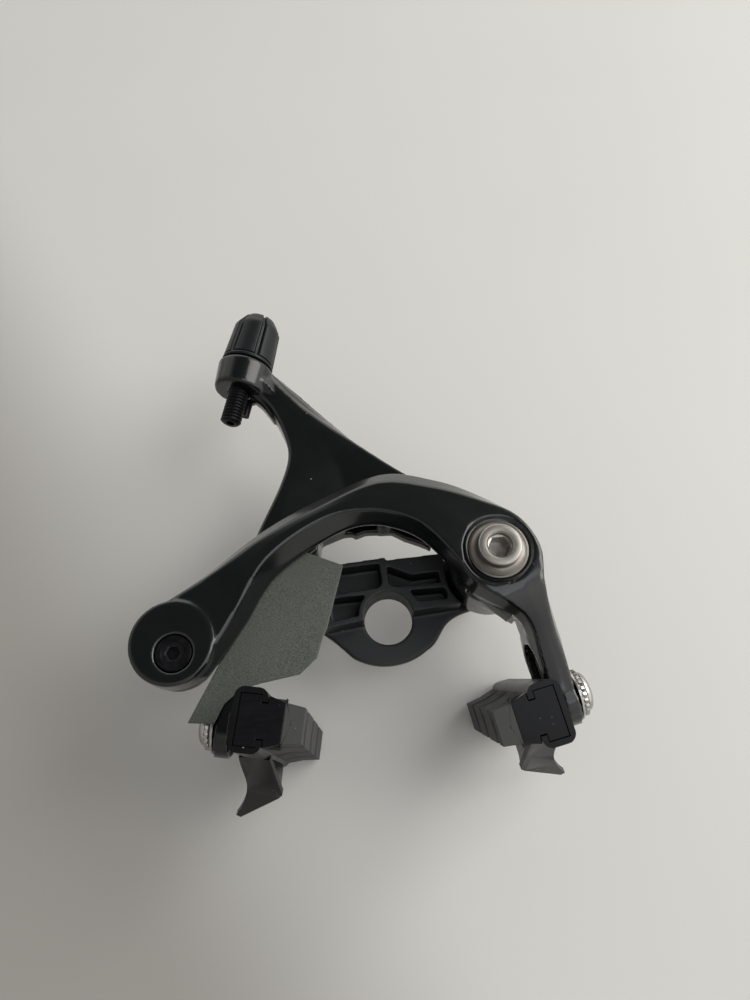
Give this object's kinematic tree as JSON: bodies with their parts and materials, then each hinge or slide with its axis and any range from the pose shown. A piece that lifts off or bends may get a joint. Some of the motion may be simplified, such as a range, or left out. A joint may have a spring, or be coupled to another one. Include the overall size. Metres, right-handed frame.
{
  "type": "direct mount rim brake caliper",
  "caption": "Dual-pivot direct mount rim brake caliper: two crossed black arms on a ribbed plate with mount bolts, cable adjuster, cable clamp and two slotted brake shoes.",
  "frame": {"origin": "on the mount plane, the back of the mount plate, midway between the two mount bolts", "axes": "+Z along the mount bolts, out of the frame or fork, +Y away from the wheel's hub, +X to the right seen from the front"},
  "size_m": [0.1113, 0.1384, 0.0561],
  "materials": {
    "gloss_black_arm": "gloss",
    "satin_black_arm": "satin",
    "black_holder": "matte",
    "black_plate": "matte",
    "black_insert": "gloss",
    "pad_rubber": "matte",
    "black_knob": "satin",
    "black_steel": "satin",
    "steel": "satin",
    "bright_steel": "polished",
    "ferrule_metal": "satin",
    "foam": "matte"
  },
  "bodies": {
    "mount": {"mount_plate": "black_plate", "left_pivot_sleeve": "steel", "right_pivot_sleeve": "steel", "left_mount_bolt": "steel", "right_mount_bolt": "steel", "left_mount_washer": "steel", "right_mount_washer": "steel", "left_return_spring": "steel", "right_return_spring": "steel"},
    "front_arm": {"front_arm": "gloss_black_arm", "cable_anchor_bolt": "black_steel", "cable_clamp_plate": "steel", "cable_clamp_washer": "steel", "cable_anchor_nut": "steel", "centring_screw": "black_steel", "spring_seat": "black_plate"},
    "rear_arm": {"rear_arm": "satin_black_arm", "link_roller_pin": "steel", "adjuster_detent": "black_steel", "foam_sheet": "foam"},
    "roller": {"link_roller": "steel"},
    "cable_ferrule": {"adjuster_ferrule": "ferrule_metal"},
    "adjuster": {"adjuster_barrel": "black_steel", "adjuster_knob": "black_knob"},
    "left_slider": {"left_outer_washer": "bright_steel", "left_washer_seat": "steel"},
    "left_ball": {"left_domed_washer": "steel"},
    "left_shoe": {"left_shoe_holder": "black_holder", "left_shoe_bolt": "bright_steel", "left_lock_washer": "bright_steel", "left_pad_screw": "black_steel"},
    "left_pad": {"left_pad_insert": "black_insert", "left_rubber_pad": "pad_rubber"},
    "right_slider": {"right_outer_washer": "bright_steel", "right_washer_seat": "steel"},
    "right_ball": {"right_domed_washer": "steel"},
    "right_shoe": {"right_shoe_holder": "black_holder", "right_shoe_bolt": "bright_steel", "right_lock_washer": "bright_steel", "right_pad_screw": "black_steel"},
    "right_pad": {"right_pad_insert": "black_insert", "right_rubber_pad": "pad_rubber"}
  },
  "joints": [
    {"name": "front_arm_pivot", "type": "hinge", "parent": "mount", "child": "front_arm", "pos_m": [0.028, 0, 0.015], "axis": [0, 0, 1], "range_deg": [-12, 0], "stiffness_Nm_per_rad": 0.8, "springref_deg": 34.38},
    {"name": "rear_arm_pivot", "type": "hinge", "parent": "mount", "child": "rear_arm", "pos_m": [-0.028, 0, 0.009], "axis": [0, 0, 1], "range_deg": [0, 12], "stiffness_Nm_per_rad": 0.8, "springref_deg": -34.38},
    {"name": "link_roller_turn", "type": "hinge", "parent": "rear_arm", "child": "roller", "pos_m": [0.001, 0.0148, 0.0128], "axis": [0, 0, 1], "continuous": true},
    {"name": "adjuster_travel", "type": "slide", "parent": "rear_arm", "child": "cable_ferrule", "axis": [0.2672, 0.9636, 0], "range_m": [0, 0.004]},
    {"name": "adjuster_turn", "type": "hinge", "parent": "cable_ferrule", "child": "adjuster", "pos_m": [-0.037, 0.0585, 0.015], "axis": [0.2672, 0.9636, 0], "range_deg": [0, 1441]},
    {"name": "left_shoe_height", "type": "slide", "parent": "rear_arm", "child": "left_slider", "axis": [0.1908, 0.9816, 0], "range_m": [-0.001, 0.0022]},
    {"name": "left_shoe_toe", "type": "hinge", "parent": "left_slider", "child": "left_ball", "pos_m": [-0.03881, -0.03567, 0.011], "axis": [0.1908, 0.9816, 0], "range_deg": [-3.5, 3.5]},
    {"name": "left_shoe_tip", "type": "hinge", "parent": "left_ball", "child": "left_shoe", "pos_m": [-0.03881, -0.03567, 0.011], "axis": [0.9816, -0.1908, 0], "range_deg": [-10, 10]},
    {"name": "left_pad_slide", "type": "slide", "parent": "left_shoe", "child": "left_pad", "axis": [0, 0, 1], "range_m": [0, 0.055]},
    {"name": "right_shoe_height", "type": "slide", "parent": "front_arm", "child": "right_slider", "axis": [-0.1908, 0.9816, 0], "range_m": [-0.001, 0.0098]},
    {"name": "right_shoe_toe", "type": "hinge", "parent": "right_slider", "child": "right_ball", "pos_m": [0.03801, -0.03567, 0.011], "axis": [-0.1908, 0.9816, 0], "range_deg": [0, 7]},
    {"name": "right_shoe_tip", "type": "hinge", "parent": "right_ball", "child": "right_shoe", "pos_m": [0.03801, -0.03567, 0.011], "axis": [-0.9798, -0.1905, -0.061], "range_deg": [-1.5, 18.5]},
    {"name": "right_pad_slide", "type": "slide", "parent": "right_shoe", "child": "right_pad", "axis": [-0.0311, -0.1566, 0.9872], "range_m": [0, 0.055]}
  ],
  "couplings": [
    {"joint": "rear_arm_pivot", "follows": "front_arm_pivot", "ratio": -1},
    {"joint": "adjuster_turn", "follows": "adjuster_travel", "rad_per_m": 6283.2}
  ]
}
